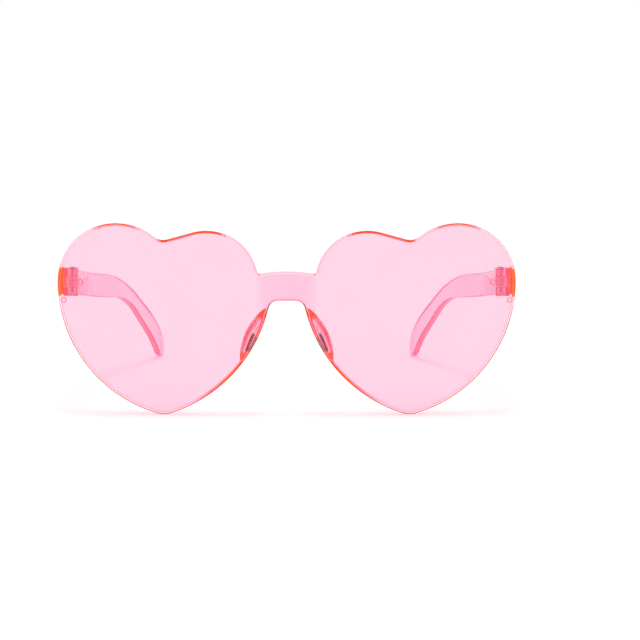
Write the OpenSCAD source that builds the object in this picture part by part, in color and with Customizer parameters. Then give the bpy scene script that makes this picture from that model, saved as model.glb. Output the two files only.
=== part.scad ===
// Rimless sunglasses with two heart shaped lenses cut from one sheet of tinted plastic.
// The front faces -Y, the temples run towards +Y and the whole stands on z = 0.
// Left and right are the wearer's, so the left side is +X.

/* [Front] */
// Overall width across the two hearts
front_w = 145.6; // [140:0.2:150]
// Depth from the bridge's front to the temple tips
depth = 154.4; // [148:0.2:162]
// Thickness of the lens sheet
lens_t = 2.0; // [1.4:0.1:2.2]
// Radius of the front's curve, seen from above
front_curve_r = 700; // [500:10:1200]

/* [Heart outline] */
// Radius of the outer lobe
outer_lobe_r = 18.8; // [18.2:0.1:19.4]
// Radius of the inner lobe
inner_lobe_r = 16.4; // [16:0.1:16.8]
// Distance between the centres of one heart's two lobes
lobe_pitch = 28.6; // [28.2:0.1:29]
// How far the inner lobe's centre lies above the outer one's
inner_lobe_up = 0.1; // [0:0.1:0.6]
// Radius of the long outer side
outer_flank_r = 43.3; // [42:0.1:45]
// Radius of the long nose side
nose_flank_r = 46.8; // [46:0.1:48]
// Half the width of the nose notch at its narrowest
nose_half_w = 4.5; // [4:0.1:5]
// How far the nose side's centre lies above the outer lobe's
nose_flank_up = 2.9; // [2.3:0.1:3.5]
// Radius of the rounded lower point
point_r = 6.4; // [5:0.1:8]
// Slope of the straight run from the inner lobe down to the cleft
cleft_slope = 15.3; // [14:0.1:17]
// Radius in the cleft between the lobes
cleft_r = 5.1; // [4:0.1:6]

/* [Bridge] */
// Thickness of the bridge
bridge_t = 2.8; // [2.4:0.1:3.4]
// Height of the bridge in its middle
bridge_h = 9.2; // [8.6:0.1:9.8]
// How far the bridge's top lies above the outer lobe's centre
bridge_up = 3.7; // [3:0.1:4.4]
// Radius of the bridge's crowned top
bridge_crown_r = 45; // [40:1:80]
// Radius of the bridge's bow, seen from above
bridge_bow_r = 45; // [40:1:60]
// Half the width of the bowed part
bridge_half_w = 8.5; // [8:0.1:9]
// Radius where the bridge's top meets a heart
bridge_fillet_r = 0.8; // [0.5:0.1:1.2]
// Radius of the nose notch's upper corners
notch_r = 3.2; // [2.6:0.1:3.6]

/* [Nose pads] */
// Straight length from end to end
pad_len = 18.6; // [16:0.2:21]
// Largest width, measured from the nose edge
pad_w = 4.3; // [3.6:0.1:4.6]
// Width at its blunt ends
pad_end_w = 1.0; // [0.6:0.1:1.3]
// How far the pad's crown stands out behind the lens
pad_h = 3.0; // [2.4:0.1:3.6]
// Radius of the crown, across the pad
pad_round_r = 3.0; // [2.4:0.1:4]
// How far its ends stand out behind the lens
pad_end_h = 0.4; // [0.2:0.1:0.8]
// Drop from the nose notch's top to the pad's upper end
pad_drop = 3.0; // [2.2:0.1:3.8]

/* [Hinge] */
// Screw's distance from the widest point of the front
axis_inset = 4.5; // [4.2:0.05:4.7]
// Screw's distance behind the lens
axis_back = 2.9; // [2.8:0.1:3.2]
// Height of the hinge's middle above the table
hinge_z = 42; // [40:0.1:43]
// Height of one ear
ear_h = 2.8; // [2.6:0.05:3]
// Height of the gap between the ears
ear_gap = 3.3; // [3:0.05:3.5]
// Radius of the ears about the screw
ear_r = 1.9; // [1.8:0.05:2]
// Reach of the ears outward from the screw
ear_out = 2.7; // [2.4:0.1:2.8]
// Thickness of the web between the ears
web_t = 0.65; // [0.5:0.05:0.7]

/* [Screw] */
// Shank diameter
screw_d = 1.4; // [1.2:0.1:1.6]
// Head diameter
head_d = 2.4; // [2.1:0.1:2.6]
// Head height
head_h = 0.7; // [0.5:0.05:0.8]
// How deep the head is sunk into the upper ear
head_sink = 0.5; // [0.3:0.05:0.7]
// Depth that the screw reaches into the lower ear
screw_bite = 2.2; // [1.6:0.1:2.4]
// Width of the driver slot
slot_w = 0.35; // [0.25:0.05:0.5]
// Depth of the driver slot
slot_depth = 0.3; // [0.2:0.05:0.4]

/* [Temples] */
// Thickness where the temple is straight
temple_t = 3.2; // [2.8:0.1:3.4]
// Thickness behind the bend
temple_end_t = 2.2; // [2:0.1:2.8]
// Outer face's distance inside the widest point of the front
temple_inset = 0.0; // [0:0.1:0.4]
// Height at the hinge
root_h = 8.7; // [8.2:0.1:9]
// Length of the straight run behind the hinge
straight_len = 55; // [50:0.5:58]
// Radius of the inward bend, on the inner face
bend_in_r = 135; // [128:1:140]
// Angle of the inward bend
toe_angle = 21.5; // [20.5:0.5:22]
// Length of the end that curves back
tip_curve_len = 23.4; // [20:0.2:26]
// Radius of that end's curve, on the inner face
tip_curve_r = 70; // [66:1:90]
// Downward slope of the upper edge in front of the ear
top_slope = 6.1; // [5:0.1:6.5]
// Downward slope of the lower edge in front of the ear
under_slope = 6.0; // [5.5:0.1:7]
// Slope of the upper edge behind the ear
top_drop = 35.5; // [34:0.5:37]
// Slope of the lower edge behind the ear
under_drop = 41.6; // [40:0.2:42]
// Radius of the upper edge over the ear
top_ear_r = 52; // [46:1:60]
// Radius of the lower edge over the ear
under_ear_r = 27; // [24:1:34]
// Radius of the rounded tip
tip_r = 3.3; // [2.8:0.1:3.8]
// Radius of the tip's underside, where it stands on the table
tip_foot_r = 9; // [7:0.5:11]
// How far that underside's centre lies in front of the tip's
tip_foot_shift = 1.7; // [1:0.1:2.4]

/* [Knuckle] */
// Length behind the temple's front end
tongue_len = 4.6; // [3.5:0.1:6]

/* [Moulding marks] */
// Radius of the small round marks on the tongues and behind the lenses
mark_r = 0.9; // [0.6:0.05:1]
// Height of the marks
mark_h = 0.15; // [0.1:0.05:0.2]
// Distance of the lens mark from the widest point of the front
mark_inset = 2.3; // [1.6:0.1:2.6]
// Distance of the lens mark below the hinge block
mark_drop = 1.3; // [1.1:0.1:2]

/* [Clearances] */
// Radial running clearance of the knuckle on the screw
run_gap = 0.05; // [0.02:0.01:0.08]
// Clearance between knuckle and ears, and between temple and ears
side_gap = 0.15; // [0.1:0.01:0.2]
// Radial clearance of the screw's head in its recess
head_gap = 0.05; // [0.02:0.01:0.1]

/* [Hidden] */
$fn = 96;

// Colours of the tinted sheet, of its glowing thick parts and of the screws
tint = [1.0, 0.72, 0.84];
glow = [1.0, 0.42, 0.45];
steel = [0.35, 0.35, 0.37];

// Overrun of cuts, the size of shapes that are only cut back, and the fineness of very large arcs
over = 1;
reach = 3 * front_w;
big_fn = 720;

// Longest straight piece and largest turn of a piece that an outline's arc is drawn with
arc_step = 1.6;
arc_turn = 12;

// Crossing of two circles, the one on the left of the line from c1 to c2
function meet(c1, r1, c2, r2) =
    let(d = norm(c2 - c1), u = (c2 - c1) / d)
    let(a = (d * d + r1 * r1 - r2 * r2) / (2 * d), h = sqrt(r1 * r1 - a * a))
    c1 + a * u + h * [-u[1], u[0]];

// Point on the circle about c, in the direction of p
function toward(c, r, p) = c + r * (p - c) / norm(p - c);

// Angle of p seen from c, and the turn from p to q about c, the short way
function angle_of(c, p) = atan2(p[1] - c[1], p[0] - c[0]);
function turn(c, p, q) = let(t = angle_of(c, q) - angle_of(c, p)) t > 180 ? t - 360 : t < -180 ? t + 360 : t;

// Points of the arc about c from p up to, but without, q
function arc(c, r, p, q) =
    let(t = turn(c, p, q), n = ceil(max(abs(t) / arc_turn, abs(t) / 180 * PI * r / arc_step)))
    [for (i = [0:n - 1]) c + r * [cos(angle_of(c, p) + t * i / n), sin(angle_of(c, p) + t * i / n)]];

// Heart outline in x and z, first with z counted from the outer lobe's centre
half_w = front_w / 2;
outer_lobe_x = half_w - outer_lobe_r;
flank_c0 = [half_w - outer_flank_r, 0];
nose_c0 = [nose_half_w + nose_flank_r, nose_flank_up];
point_c0 = meet(nose_c0, nose_flank_r - point_r, flank_c0, outer_flank_r - point_r);

// The lower point stands on the table, which sets every height
lobe_z = point_r - point_c0[1];
outer_lobe_c = [outer_lobe_x, lobe_z];
inner_lobe_c = [outer_lobe_x - lobe_pitch, lobe_z + inner_lobe_up];
flank_c = flank_c0 + [0, lobe_z];
nose_c = nose_c0 + [0, lobe_z];
point_c = point_c0 + [0, lobe_z];
point_on_flank = toward(flank_c, outer_flank_r, point_c);
point_on_nose = toward(nose_c, nose_flank_r, point_c);

// Straight run to the cleft: its direction, its upward normal, its start, and the cleft's centre
run_dir = [cos(cleft_slope), -sin(cleft_slope)];
run_up = [sin(cleft_slope), cos(cleft_slope)];
run_start = inner_lobe_c + inner_lobe_r * run_up;
to_lobe = outer_lobe_c - (run_start + cleft_r * run_up);
across = to_lobe * run_up;
run_len = to_lobe * run_dir - sqrt(pow(outer_lobe_r + cleft_r, 2) - pow(across, 2));
cleft_c = run_start + cleft_r * run_up + run_len * run_dir;
run_end = cleft_c - cleft_r * run_up;
cleft_on_lobe = toward(cleft_c, cleft_r, outer_lobe_c);

// Bridge: its top and underside, and the fillets on its +X side, at the brow and in the notch
bridge_top_z = lobe_z + bridge_up;
bridge_low_z = bridge_top_z - bridge_h;
crown_c = [0, bridge_top_z - bridge_crown_r];
brow_c = meet(crown_c, bridge_crown_r + bridge_fillet_r, inner_lobe_c, inner_lobe_r + bridge_fillet_r);
brow_on_lobe = toward(brow_c, bridge_fillet_r, inner_lobe_c);
brow_on_crown = toward(brow_c, bridge_fillet_r, crown_c);
notch_z = bridge_low_z - notch_r;
notch_x = nose_c[0] - sqrt(pow(nose_flank_r + notch_r, 2) - pow(nose_c[1] - notch_z, 2));
notch_c = [notch_x, notch_z];
notch_on_nose = toward(notch_c, notch_r, nose_c);

// Outline of the left half, from the bridge's top over the heart to the nose notch's top
top_mid = [0, bridge_top_z];
notch_top = [notch_x, bridge_low_z];
widest = [half_w, lobe_z];
half_outline = concat(
    arc(crown_c, bridge_crown_r, top_mid, brow_on_crown),
    arc(brow_c, bridge_fillet_r, brow_on_crown, brow_on_lobe),
    arc(inner_lobe_c, inner_lobe_r, brow_on_lobe, run_start),
    [run_start],
    arc(cleft_c, cleft_r, run_end, cleft_on_lobe),
    arc(outer_lobe_c, outer_lobe_r, cleft_on_lobe, widest),
    arc(flank_c, outer_flank_r, widest, point_on_flank),
    arc(point_c, point_r, point_on_flank, point_on_nose),
    arc(nose_c, nose_flank_r, point_on_nose, notch_on_nose),
    arc(notch_c, notch_r, notch_on_nose, notch_top),
    [notch_top]);
mirrored = [for (i = [len(half_outline) - 1:-1:1]) [-half_outline[i][0], half_outline[i][1]]];

// Plan curve of the front: where the hearts' curve starts behind the bridge's bow
bow_depth = bridge_bow_r - sqrt(pow(bridge_bow_r, 2) - pow(bridge_half_w, 2));
curve_sag = front_curve_r - sqrt(pow(front_curve_r, 2) - pow(bridge_half_w, 2));
heart_y = bow_depth - curve_sag;
function front_y(x) = heart_y + front_curve_r - sqrt(pow(front_curve_r, 2) - x * x);
function back_y(x) = heart_y + front_curve_r - sqrt(pow(front_curve_r - lens_t, 2) - x * x);

// Hinge: the screw's axis, the ears' lowest and highest faces, and the gap's two faces
axis_x = half_w - axis_inset;
axis_y = back_y(axis_x) + axis_back;
gap_low = hinge_z - ear_gap / 2;
gap_high = hinge_z + ear_gap / 2;
ears_low = gap_low - ear_h;
ears_high = gap_high + ear_h;
screw_r = screw_d / 2;
head_r = head_d / 2;
head_low = ears_high - head_sink;
mark_x = half_w - mark_inset;
mark_z = ears_low - mark_drop;
ear_in_x = axis_x - ear_r;

// Temple: the straight run's faces, and the end next to the ears
temple_out_x = half_w - temple_inset;
temple_in_x = temple_out_x - temple_t;
temple_y = axis_y + ear_r + side_gap;
bend_y = temple_y + straight_len;
bend_out_r = bend_in_r - (temple_t * cos(toe_angle) - temple_end_t) / (1 - cos(toe_angle));
bent_in = [temple_in_x - bend_in_r * (1 - cos(toe_angle)), bend_y + bend_in_r * sin(toe_angle)];
curve_in = bent_in + (depth - tip_curve_len - bent_in[1]) * [-tan(toe_angle), 1];
curve_c = curve_in + tip_curve_r * [cos(toe_angle), sin(toe_angle)];
root_top_z = hinge_z + root_h / 2;
root_low_z = hinge_z - root_h / 2;

// One face of the temple from above: straight, round the bend, straight again, and round the end's curve
function face_path(x, r, end_r) =
    let(c = [x - r, bend_y], bent = c + r * [cos(toe_angle), sin(toe_angle)])
    concat([[x, temple_y]], arc(c, r, [x, bend_y], bent), [bent],
        arc(curve_c, end_r, curve_c - end_r * [cos(toe_angle), sin(toe_angle)], curve_c - [end_r, 0]),
        [curve_c - [end_r, 0]]);
function backwards(list) = [for (i = [len(list) - 1:-1:0]) list[i]];

// Direction square to an edge that falls at angle a, in y and z
function square_to(a) = [sin(a), cos(a)];

// Centre of the arc that joins a line from p falling at angle a to a line through q falling at angle b
function joint_c(p, a, q, b, r) =
    let(na = square_to(a), nb = square_to(b))
    let(ka = p * na - r, kb = q * nb - r, det = na[0] * nb[1] - na[1] * nb[0])
    [(ka * nb[1] - kb * na[1]) / det, (kb * na[0] - ka * nb[0]) / det];

// Temple's side outline in y and z, built up from the tip, which stands on the table
root_top = [temple_y, root_top_z];
root_low = [temple_y, root_low_z];
tip_c = [depth - tip_r, tip_r];
tip_top = tip_c + tip_r * square_to(top_drop);
top_c = joint_c(root_top, top_slope, tip_top, top_drop, top_ear_r);
top_from = top_c + top_ear_r * square_to(top_slope);
top_to = top_c + top_ear_r * square_to(top_drop);

// The lower edge ends in a corner on the foot's arc
heel_angle = 45;
foot_c = [tip_c[0] - tip_foot_shift, tip_foot_r];
heel = foot_c - tip_foot_r * square_to(heel_angle);
under_c = joint_c(root_low, under_slope, heel, under_drop, under_ear_r);
under_from = under_c + under_ear_r * square_to(under_drop);
under_to = under_c + under_ear_r * square_to(under_slope);
temple_outline = concat(
    [root_low, root_top],
    arc(top_c, top_ear_r, top_from, top_to),
    [top_to],
    arc(tip_c, tip_r, tip_top, tip_c - [0, tip_r]),
    arc(foot_c, tip_foot_r, foot_c - [0, tip_foot_r], heel),
    [heel],
    arc(under_c, under_ear_r, under_from, under_to),
    [under_to]);

// Knuckle: its faces between the ears, and the tongue's end on the temple
tongue_low = gap_low + side_gap;
tongue_high = gap_high - side_gap;
tongue_h = tongue_high - tongue_low;
tongue_end = temple_y + tongue_len;

// Nose pad: its ends on the nose edge, and the frame along its chord
pad_top_angle = 180 + asin((nose_c[1] - (bridge_low_z - pad_drop)) / nose_flank_r);
pad_sweep = 2 * asin(pad_len / 2 / nose_flank_r);
pad_mid_angle = pad_top_angle + pad_sweep / 2;
pad_mid = nose_c + nose_flank_r * cos(pad_sweep / 2) * [cos(pad_mid_angle), sin(pad_mid_angle)];
pad_bow = nose_flank_r * (1 - cos(pad_sweep / 2));
pad_depth = pad_w - pad_bow;
pad_rise = pad_depth - pad_end_w;
pad_back_r = (pow(pad_len / 2, 2) + pow(pad_rise, 2)) / (2 * pad_rise);
pad_crown = pad_h - pad_end_h;
pad_ridge_r = (pow(pad_len / 2, 2) + pow(pad_crown, 2)) / (2 * pad_crown);
pad_turn = asin(pad_mid[0] / (front_curve_r - lens_t));

// The pad's flat base stands on the curved lens at its ends, this far above the middle
pad_seat = front_curve_r - lens_t - sqrt(pow(front_curve_r - lens_t, 2) - pow(pad_len / 2, 2));

// Upright slab drawn from an outline in x and z
module upright(y_from, y_to)
    translate([0, y_to, 0]) rotate([90, 0, 0]) linear_extrude(y_to - y_from) children();

// Region between the front's two curved faces, seen from above
module curved_band(r, t, y_front)
    translate([0, y_front + r]) difference() {
        circle(r, $fn = big_fn);
        circle(r - t, $fn = big_fn);
        translate([-2 * r, 0]) square([4 * r, 2 * r]);
    }

module bridge_band()
    intersection() {
        curved_band(bridge_bow_r, bridge_t, 0);
        translate([-bridge_half_w, 0]) square([2 * bridge_half_w, bridge_bow_r]);
    }

module plan_band() {
    intersection() {
        curved_band(front_curve_r, lens_t, heart_y);
        both_sides() translate([bridge_half_w, 0]) square([half_w, reach]);
    }
    bridge_band();
}

// Everything behind the hearts' back face
module behind_lens()
    translate([0, 0, -over]) linear_extrude(reach) difference() {
        translate([0, heart_y + front_curve_r]) circle(front_curve_r - lens_t, $fn = big_fn);
        translate([-reach, depth]) square([2 * reach, 2 * front_curve_r]);
    }

// A half and its mirror image
module both_sides() {
    children();
    mirror([1, 0, 0]) children();
}

// The left piece of a pair as it is, or the right one as its mirror image
module on_side(right) mirror([right ? 1 : 0, 0, 0]) children();

// Moves the whole model so that the origin is below the middle of its box
module placed() translate([0, -depth / 2, 0]) children();

// Small round moulding mark, standing on a face that looks along its own +Z
module mark() translate([0, 0, -over]) cylinder(r = mark_r, h = mark_h + over, $fn = 48);

module front_shield()
    color(tint) placed() {
        intersection() {
            upright(-over, depth) polygon(concat(half_outline, mirrored));
            linear_extrude(reach) plan_band();
        }
        both_sides() translate([mark_x, back_y(mark_x), mark_z]) rotate([-90, 0, 0]) mark();
    }

// Crescent in the pad's frame: x along the pad, y from the nose edge into the lens
module pad_outline()
    intersection() {
        translate([0, nose_flank_r * cos(pad_sweep / 2)]) circle(nose_flank_r, $fn = big_fn);
        translate([0, pad_depth - pad_back_r]) circle(pad_back_r, $fn = big_fn);
        square([pad_len, 2 * pad_w], center = true);
    }

// Pad in its own frame, where z points away from the lens
module pad_body()
    intersection() {
        linear_extrude(pad_h + over) pad_outline();
        translate([0, 0, pad_h - pad_ridge_r]) rotate([90, 0, 0])
            cylinder(r = pad_ridge_r, h = 2 * pad_w, center = true, $fn = big_fn);
        translate([0, (pad_depth - pad_bow) / 2, pad_h - pad_round_r]) rotate([0, 90, 0])
            cylinder(r = pad_round_r, h = 2 * pad_len, center = true);
    }

module nose_pad(s)
    color(glow) placed() on_side(s) difference() {
        translate([pad_mid[0], back_y(pad_mid[0]), pad_mid[1]]) rotate([0, 0, pad_turn])
            translate([0, pad_seat, 0]) rotate([0, 270 - pad_mid_angle, 0]) rotate([90, 0, 0])
                mirror([0, 0, 1]) pad_body();
        linear_extrude(reach) bridge_band();
    }

// Ears' shape from above: square outside as the open stop, round where the temple swings past
module ear_plan() {
    translate([axis_x, axis_y]) circle(ear_r);
    translate([axis_x, 0]) square([ear_out, axis_y + ear_r]);
    translate([ear_in_x, 0]) square([ear_r, axis_y]);
}

module web_plan()
    translate([ear_in_x, 0]) square([ear_r + ear_out, back_y(axis_x) + web_t]);

module hinge_block(s)
    color(glow) placed() on_side(s) difference() {
        intersection() {
            union() {
                translate([0, 0, ears_low]) linear_extrude(ear_h) ear_plan();
                translate([0, 0, gap_high]) linear_extrude(ear_h) ear_plan();
                translate([0, 0, gap_low]) linear_extrude(ear_gap) web_plan();
            }
            behind_lens();
        }
        translate([axis_x, axis_y, gap_low - screw_bite])
            cylinder(r = screw_r, h = ears_high - gap_low + screw_bite + over);
        translate([axis_x, axis_y, head_low]) cylinder(r = head_r + head_gap, h = head_sink + over);
    }

module hinge_screw(s)
    color(steel) placed() on_side(s) translate([axis_x, axis_y, 0]) {
        translate([0, 0, gap_low - screw_bite]) cylinder(r = screw_r, h = head_low - gap_low + screw_bite);
        difference() {
            translate([0, 0, head_low]) cylinder(r = head_r, h = head_h);
            translate([-head_d, -slot_w / 2, head_low + head_h - slot_depth])
                cube([2 * head_d, slot_w, slot_depth + over]);
        }
    }

module temple_plan()
    polygon(concat(
        face_path(temple_out_x, bend_out_r, tip_curve_r - temple_end_t),
        backwards(face_path(temple_in_x, bend_in_r, tip_curve_r))));

module temple(s)
    color(tint) placed() on_side(s) intersection() {
        linear_extrude(reach) temple_plan();
        rotate([90, 0, 90]) linear_extrude(reach) polygon(temple_outline);
    }

module temple_knuckle(s)
    color(glow) placed() on_side(s) difference() {
        union() {
            translate([axis_x, axis_y, tongue_low]) cylinder(r = ear_r, h = tongue_h);
            translate([ear_in_x, axis_y, tongue_low])
                cube([temple_in_x - ear_in_x, tongue_end - tongue_h / 2 - axis_y, tongue_h]);
            translate([ear_in_x, tongue_end - tongue_h / 2, hinge_z]) {
                rotate([0, 90, 0]) cylinder(d = tongue_h, h = temple_in_x - ear_in_x);
                rotate([0, -90, 0]) mark();
            }
        }
        translate([axis_x, axis_y, tongue_low - over])
            cylinder(r = screw_r + run_gap, h = tongue_h + 2 * over);
    }

front_shield();
nose_pad(0);  // left_nose_pad
nose_pad(1);  // right_nose_pad
hinge_block(0);  // left_hinge_block
hinge_block(1);  // right_hinge_block
hinge_screw(0);  // left_hinge_screw
hinge_screw(1);  // right_hinge_screw
temple(0);  // left_temple
temple(1);  // right_temple
temple_knuckle(0);  // left_temple_knuckle
temple_knuckle(1);  // right_temple_knuckle
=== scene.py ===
import math
from bisect import bisect_left
from itertools import product

import bmesh
import bpy
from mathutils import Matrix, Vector


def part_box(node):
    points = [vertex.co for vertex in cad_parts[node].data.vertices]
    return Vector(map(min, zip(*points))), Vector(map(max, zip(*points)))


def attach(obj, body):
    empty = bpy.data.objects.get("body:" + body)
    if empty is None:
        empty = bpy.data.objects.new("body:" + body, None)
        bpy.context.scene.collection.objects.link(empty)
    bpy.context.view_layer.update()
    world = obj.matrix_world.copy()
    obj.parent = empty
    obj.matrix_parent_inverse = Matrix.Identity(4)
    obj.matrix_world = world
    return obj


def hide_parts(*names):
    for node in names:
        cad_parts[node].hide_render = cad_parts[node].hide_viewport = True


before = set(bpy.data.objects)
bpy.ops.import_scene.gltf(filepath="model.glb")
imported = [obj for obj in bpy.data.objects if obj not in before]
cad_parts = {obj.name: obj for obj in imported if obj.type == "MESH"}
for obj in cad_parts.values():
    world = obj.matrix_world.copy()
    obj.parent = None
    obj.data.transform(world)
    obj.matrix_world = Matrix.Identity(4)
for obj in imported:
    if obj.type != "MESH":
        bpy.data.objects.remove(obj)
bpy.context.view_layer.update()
MM = 0.001
SIDES = (("left", 1.0), ("right", -1.0))

# Front sheet
LENS_T = 2.0 * MM
BRIDGE_T = 2.8 * MM
BRIDGE_HALF_W = 8.5 * MM
BRIDGE_LOW_Z = 32.0 * MM
BRIDGE_FADE = 1.5 * MM
BRIDGE_EASE = 2.0 * MM
BRIDGE_MIDDLE = (38.0 * MM, 42.0 * MM)
EDGE_ROUND_W = 1.0 * MM
EDGE_ROUND_D = 0.45 * MM
BRIDGE_ROUND_W = 1.3 * MM
NOTCH_ROUND_W = 1.1 * MM
CLEFT_X = 39.5 * MM
HINGE_REACH = 5.0 * MM

# Round moulding marks on the sheet's back; the profile is (how far inside the radius, share of the height)
MARK_R = 0.9 * MM
MARK_H = 0.15 * MM
MARK_INSET = 1.9 * MM
MARK_DROP = 1.3 * MM
INNER_MARK_INSET = 7.3 * MM
MARK_AROUND = 36
MARK_PROFILE = ((0.02 * MM, 0.0), (0.0, 0.3), (0.02 * MM, 0.8), (0.1 * MM, 1.0), (0.3 * MM, 1.0))

# Temples; the shares are of the blade's length from the hinge
TEMPLE_ROUND_W = 0.6 * MM
TEMPLE_ROUND_D = 0.3 * MM
HINGE_ROUND_W = 0.8 * MM
HINGE_ROUND_SHARES = (0.3, 0.6)
STRAIGHT_SHARES = (0.5, 0.62)
TIP_ROUND_D = 1.2 * MM
TIP_LEN = 9.0 * MM
TIP_GLOW_END = 2.0 * MM
FLAME_W = 2.6 * MM
END_LAYER = 0.1 * MM

# Hinge blocks and knuckles
BLOCK_ROUND = 0.28 * MM
KNUCKLE_ROUND = 0.2 * MM
CORNER_R = 0.35 * MM
EAR_GAP = 3.3 * MM
EAR_ROOT_W = 0.6 * MM
EAR_BACK_W = 0.7 * MM
WEB_T = 0.65 * MM
WEB_ROUND = 0.1 * MM
BORE_R = 0.72 * MM
EYE_BORE_R = 0.76 * MM
BORE_RIM = 0.05 * MM
RECESS_R = 1.25 * MM
RECESS_DEPTH = 0.5 * MM
BOND_GAP = 0.02 * MM
HINGE_GLOW_LEN = 3.0 * MM
TONGUE_SIDE_LAYER = (0.3 * MM, 0.1 * MM)
TONGUE_TIP_HALF = 0.25 * MM

# Nose pads
PAD_H = 3.0 * MM
PAD_END_H = 0.4 * MM
PAD_ROUND_R = 3.0 * MM
PAD_SQUARENESS = 5
PAD_STATIONS = 64
PAD_ACROSS = 36

# Screws; the point's rings are (share of the core's radius, height over the screw's end)
SCREW_CORE_R = 0.5 * MM
SCREW_CREST_R = 0.66 * MM
SCREW_AROUND = 28
POINT_RINGS = ((0.7, 0.0), (0.92, 0.12 * MM))
POINT_LEN = 0.2 * MM
THREAD_PITCH = 0.32 * MM
THREAD_LEN = 4.4 * MM
THREAD_STEPS = 6
SHOULDER_RISE = 0.2 * MM
HEAD_GAP = 0.02 * MM
HEAD_H = 0.7 * MM
HEAD_RIM_H = 0.34 * MM
HEAD_EDGE = 0.06 * MM
DOME_STEPS = 7
NECK_H = 0.8 * MM
SLOT_W = 0.35 * MM
SLOT_DEPTH = 0.3 * MM

# How finely the pieces are cut, which of their corners stay sharp, and what counts as one place
CUT_STEP = 1.6 * MM
PLAN_STEP = 0.3 * MM
EAR_FRONT_STEPS = 8
CORNER_STEPS = 4
EAR_BACK_STEPS = 10
EYE_STEPS = 26
POINT_GAP = 0.1 * MM
ROUND_STEPS = 3
LEAST_HALF = 0.02 * MM
LEAST_TURN = 0.3
SHARP_ANGLE = math.radians(40)
FLAT_FACE_WEIGHT = 100
SAME_POINT = 1e-6
SAME_CUT = 1e-7
KEY_DIGITS = 7
TINY = 1e-9

# How much of a face's normal lies along an axis that it looks straight along, roughly along, mostly along
# or across
FLAT_NORMAL = 0.96
ALONG_NORMAL = 0.7
MOSTLY_NORMAL = 0.5
ACROSS_NORMAL = 0.1

# Tones of the plastic's painted glow, from the darkest to the palest: the dark and brown tones paint shade
# and the white one paints highlights
SHADE_DARK, FLAME, ORANGE, RED_PINK, PALE_PINK, HIGHLIGHT_WHITE = 0.0, 0.2, 0.4, 0.6, 0.8, 1.0
SHADE_BROWN = 0.1

# Parts of a sheet's edge, from its front face to its back face, and where its rounding is cut into them, as
# shares of its width
FACE_LINE, BEVEL, CORNER, WALL, BACK_ROUND = 1, 2, 3, 4, 5
STRIPS = (FACE_LINE, BEVEL, CORNER, WALL, BACK_ROUND, BACK_ROUND, BACK_ROUND)
ROUND_SHARES = (1.0, 0.62, 0.34, 0.0)


# Small helpers
def smooth(low, high, x):
    """0 below low, 1 above high and a soft step between them."""
    t = min(max((x - low) / (high - low), 0.0), 1.0)
    return t * t * (3 - 2 * t)


def band(low, high, soft, x):
    """1 between low and high, and 0 outside, with soft sides."""
    return smooth(low - soft, low + soft, x) * (1 - smooth(high - soft, high + soft, x))


def mixed(one, two, t):
    """The pair one at t = 0, the pair two at t = 1, and between them a blend."""
    return tuple(a + (b - a) * t for a, b in zip(one, two))


def along(points, key, value):
    """A function that reads value at key along the points, straight between them."""
    pairs = sorted({(round(p[key], KEY_DIGITS), p[value]) for p in points})
    keys = [k for k, _ in pairs]

    def at(x):
        i = min(max(bisect_left(keys, x), 1), len(keys) - 1)
        (x0, y0), (x1, y1) = pairs[i - 1], pairs[i]
        t = min(max((x - x0) / max(x1 - x0, TINY), 0.0), 1.0)
        return y0 + (y1 - y0) * t
    return at


def eased(curve, width, steps=8):
    """The curve's mean over a window, which turns its corners into bends."""
    def at(x):
        return sum(curve(x + width * (i / steps - 0.5)) for i in range(steps + 1)) / (steps + 1)
    return at


# Reading the frame
def welded(node):
    """The node's mesh as one bmesh with its doubled points merged."""
    bm = bmesh.new()
    bm.from_mesh(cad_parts[node].data)
    bmesh.ops.remove_doubles(bm, verts=bm.verts, dist=SAME_POINT)
    bm.normal_update()
    return bm


def rim_sides(node, axis, sign):
    """Sides (from, to) of the edge between a node's walls along an axis and its faces that look along sign
    times that axis."""
    bm = welded(node)
    sides = []
    for edge in bm.edges:
        if len(edge.link_faces) != 2:
            continue
        one, two = edge.link_faces
        for face, other in ((one, two), (two, one)):
            if face.normal[axis] * sign > ALONG_NORMAL and abs(other.normal[axis]) < ACROSS_NORMAL:
                loop = next(lp for lp in face.loops if lp.edge == edge)
                sides.append(tuple(lp.vert.co.copy().freeze() for lp in (loop, loop.link_loop_next)))
    bm.free()
    return sides


def rim(node, axis, sign):
    """The same edge as one ring of points in order."""
    after = dict(rim_sides(node, axis, sign))
    ring = [next(iter(after))]
    while after[ring[-1]] != ring[0]:
        ring.append(after[ring[-1]])
    return ring


def corners_of(node):
    """The node's lowest and highest corners as vectors."""
    return tuple(Vector(corner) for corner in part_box(node))


def left_inside(ring):
    """The flat ring turned so that its inside is on the left."""
    area = sum(p[0] * q[1] - q[0] * p[1] for p, q in zip(ring, ring[1:] + ring[:1]))
    return ring if area > 0 else ring[::-1]


def outward(p, q):
    """Direction out of a left inside ring at its side from p to q."""
    way = Vector((q[1] - p[1], p[0] - q[0]))
    return way.normalized()


# Mesh code
def closed(bm):
    """Turns the faces of a closed mesh outwards and keeps its corners sharp."""
    bmesh.ops.recalc_face_normals(bm, faces=bm.faces)
    if bm.calc_volume(signed=True) < 0:
        bmesh.ops.reverse_faces(bm, faces=bm.faces)
    for edge in bm.edges:
        edge.smooth = edge.calc_face_angle(0) < SHARP_ANGLE
    return bm


def marks_of(bm):
    """The two values on each face that say how much its plastic glows and in which tone."""
    layers = bm.faces.layers.float
    return tuple(layers.get(name) or layers.new(name) for name in ("glow", "tone"))


def mark(bm, look):
    """Gives each face the glow and the tone that look says for it."""
    glow, tone = marks_of(bm)
    for face in bm.faces:
        face[glow], face[tone] = look(face)


def inset(ring, i, by):
    """Point i of a left inside ring, moved inwards."""
    before, here, behind = (Vector(ring[(i + k) % len(ring)]) for k in (-1, 0, 1))
    n1, n2 = -outward(before, here), -outward(here, behind)
    return here + (n1 + n2) * by / max(1 + n1.dot(n2), LEAST_TURN)


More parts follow.
